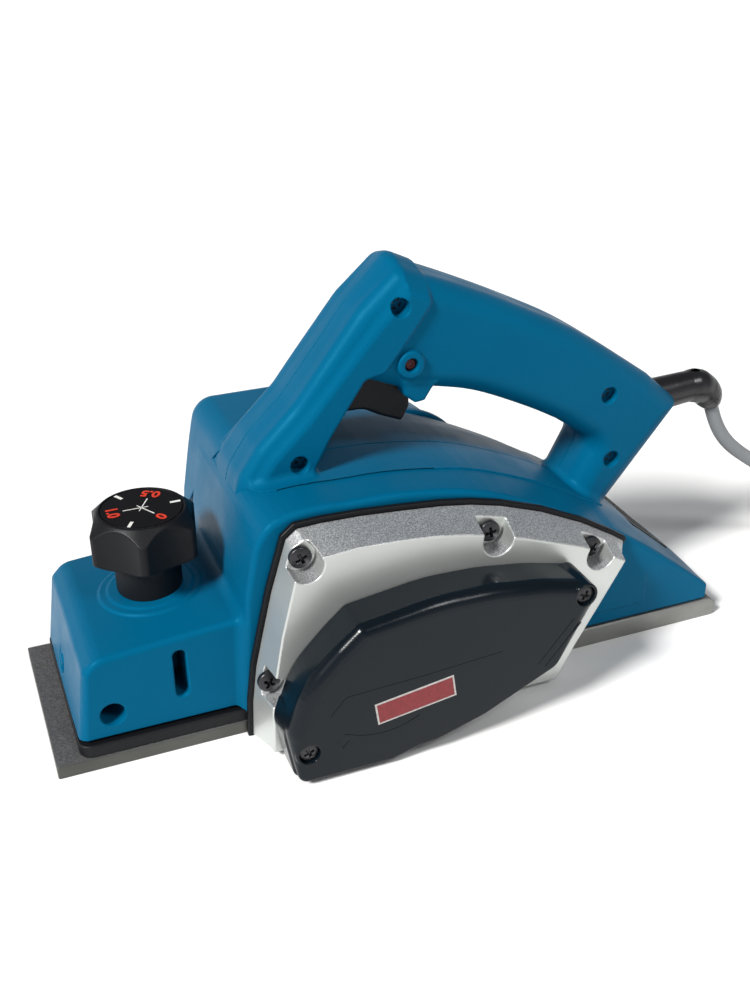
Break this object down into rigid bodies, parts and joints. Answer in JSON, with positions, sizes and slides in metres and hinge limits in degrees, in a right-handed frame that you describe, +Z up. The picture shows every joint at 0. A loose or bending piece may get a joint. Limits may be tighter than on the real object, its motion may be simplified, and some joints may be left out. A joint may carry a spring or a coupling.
{
  "type": "electric hand planer",
  "caption": "Corded electric hand planer: closed pistol-style handle over a motor hump, front depth knob, sole in two parts around a cutter drum, side belt cover and side chip outlet.",
  "frame": {"origin": "in the sole plane, at half the length of the base and half the planing width, on the rear sole", "axes": "+X is the planing direction, towards the depth knob; +Y is the tool's left side, where the belt cover is; +Z is up, away from the sole"},
  "size_m": [0.4629, 0.1848, 0.1718],
  "materials": {
    "belt_cover_black": "gloss moulded plastic",
    "black_plastic": "satin moulded plastic",
    "carbon": "matt graphite",
    "cast_aluminium": "blasted die casting",
    "copper": "turned copper",
    "cord_grey": "matt cord jacket",
    "dark_steel": "blackened steel",
    "dial_black": "printed dial",
    "housing_blue": "satin moulded plastic",
    "laminations": "stacked laminations",
    "red_plastic": "satin moulded plastic",
    "rubber": "semi-gloss rubber",
    "sole_aluminium": "milled aluminium",
    "steel": "ground steel"
  },
  "bodies": {
    "planer_body": {"base_screw_1": "dark_steel", "base_screw_2": "dark_steel", "bearing_cover": "cast_aluminium", "belt_cover": "belt_cover_black", "belt_cover_screw_1": "dark_steel", "belt_cover_screw_2": "dark_steel", "brush_holder_front": "copper", "brush_holder_rear": "copper", "carbon_brush_front": "carbon", "carbon_brush_rear": "carbon", "chip_chute": "housing_blue", "cord_clamp": "black_plastic", "cord_coil": "cord_grey", "cord_guard": "rubber", "cord_lead": "cord_grey", "cord_tail": "cord_grey", "cover_screw_1": "dark_steel", "cover_screw_2": "dark_steel", "cover_screw_3": "dark_steel", "cover_screw_4": "dark_steel", "depth_spring": "steel", "drive_belt": "rubber", "drum_bearing_left": "steel", "drum_bearing_right": "steel", "drum_end_plate": "cast_aluminium", "handle_left": "housing_blue", "handle_right": "housing_blue", "handle_screw_1": "dark_steel", "handle_screw_2": "dark_steel", "handle_screw_3": "dark_steel", "handle_screw_4": "dark_steel", "main_housing": "housing_blue", "motor_bearing_left": "steel", "motor_bearing_right": "steel", "motor_end_cover": "housing_blue", "plug_body": "rubber", "rear_base": "sole_aluminium", "side_gasket": "black_plastic", "stator": "laminations", "switch_body": "black_plastic", "trigger_spring": "steel", "vent_grille": "black_plastic"},
    "front_base": {"front_base": "sole_aluminium", "front_skirt": "black_plastic", "depth_stud": "steel"},
    "depth_knob": {"depth_knob": "black_plastic", "dial_plate": "dial_black"},
    "trigger": {"trigger": "black_plastic"},
    "lock_button": {"lock_button": "red_plastic"},
    "cutter_drum": {"cutter_drum": "dark_steel", "planer_blade_1": "steel", "planer_blade_2": "steel", "blade_clamp_1": "dark_steel", "blade_clamp_2": "dark_steel", "drum_pulley": "steel"},
    "armature": {"armature_shaft": "steel", "armature_core": "laminations", "commutator": "copper", "cooling_fan": "black_plastic", "motor_pulley": "steel"}
  },
  "joints": [
    {"name": "front_base_slide", "type": "slide", "parent": "planer_body", "child": "front_base", "axis": [0, 0, 1], "range_m": [0, 0.001], "deforming": ["depth_spring"]},
    {"name": "depth_knob_turn", "type": "hinge", "parent": "planer_body", "child": "depth_knob", "pos_m": [0.097, 0, 0.066], "axis": [0, 0, -1], "range_deg": [0, 240]},
    {"name": "trigger_squeeze", "type": "hinge", "parent": "planer_body", "child": "trigger", "pos_m": [0.019, 0, 0.132], "axis": [0, 1, 0], "range_deg": [0, 8], "stiffness_Nm_per_rad": 1.2, "springref_deg": -5.73, "deforming": ["trigger_spring"]},
    {"name": "lock_button_press", "type": "slide", "parent": "planer_body", "child": "lock_button", "axis": [0, -1, 0], "range_m": [0, 0.0018], "stiffness_N_per_m": 200, "springref_m": -0.002},
    {"name": "cutter_drum_spin", "type": "hinge", "parent": "planer_body", "child": "cutter_drum", "pos_m": [0.037, 0, 0.024], "axis": [0, -1, 0], "continuous": true},
    {"name": "armature_spin", "type": "hinge", "parent": "planer_body", "child": "armature", "pos_m": [-0.024, 0, 0.049], "axis": [0, -1, 0], "continuous": true}
  ],
  "couplings": [
    {"joint": "depth_knob_turn", "follows": "front_base_slide", "rad_per_m": 4188.8},
    {"joint": "armature_spin", "follows": "cutter_drum_spin", "ratio": 1.125}
  ]
}
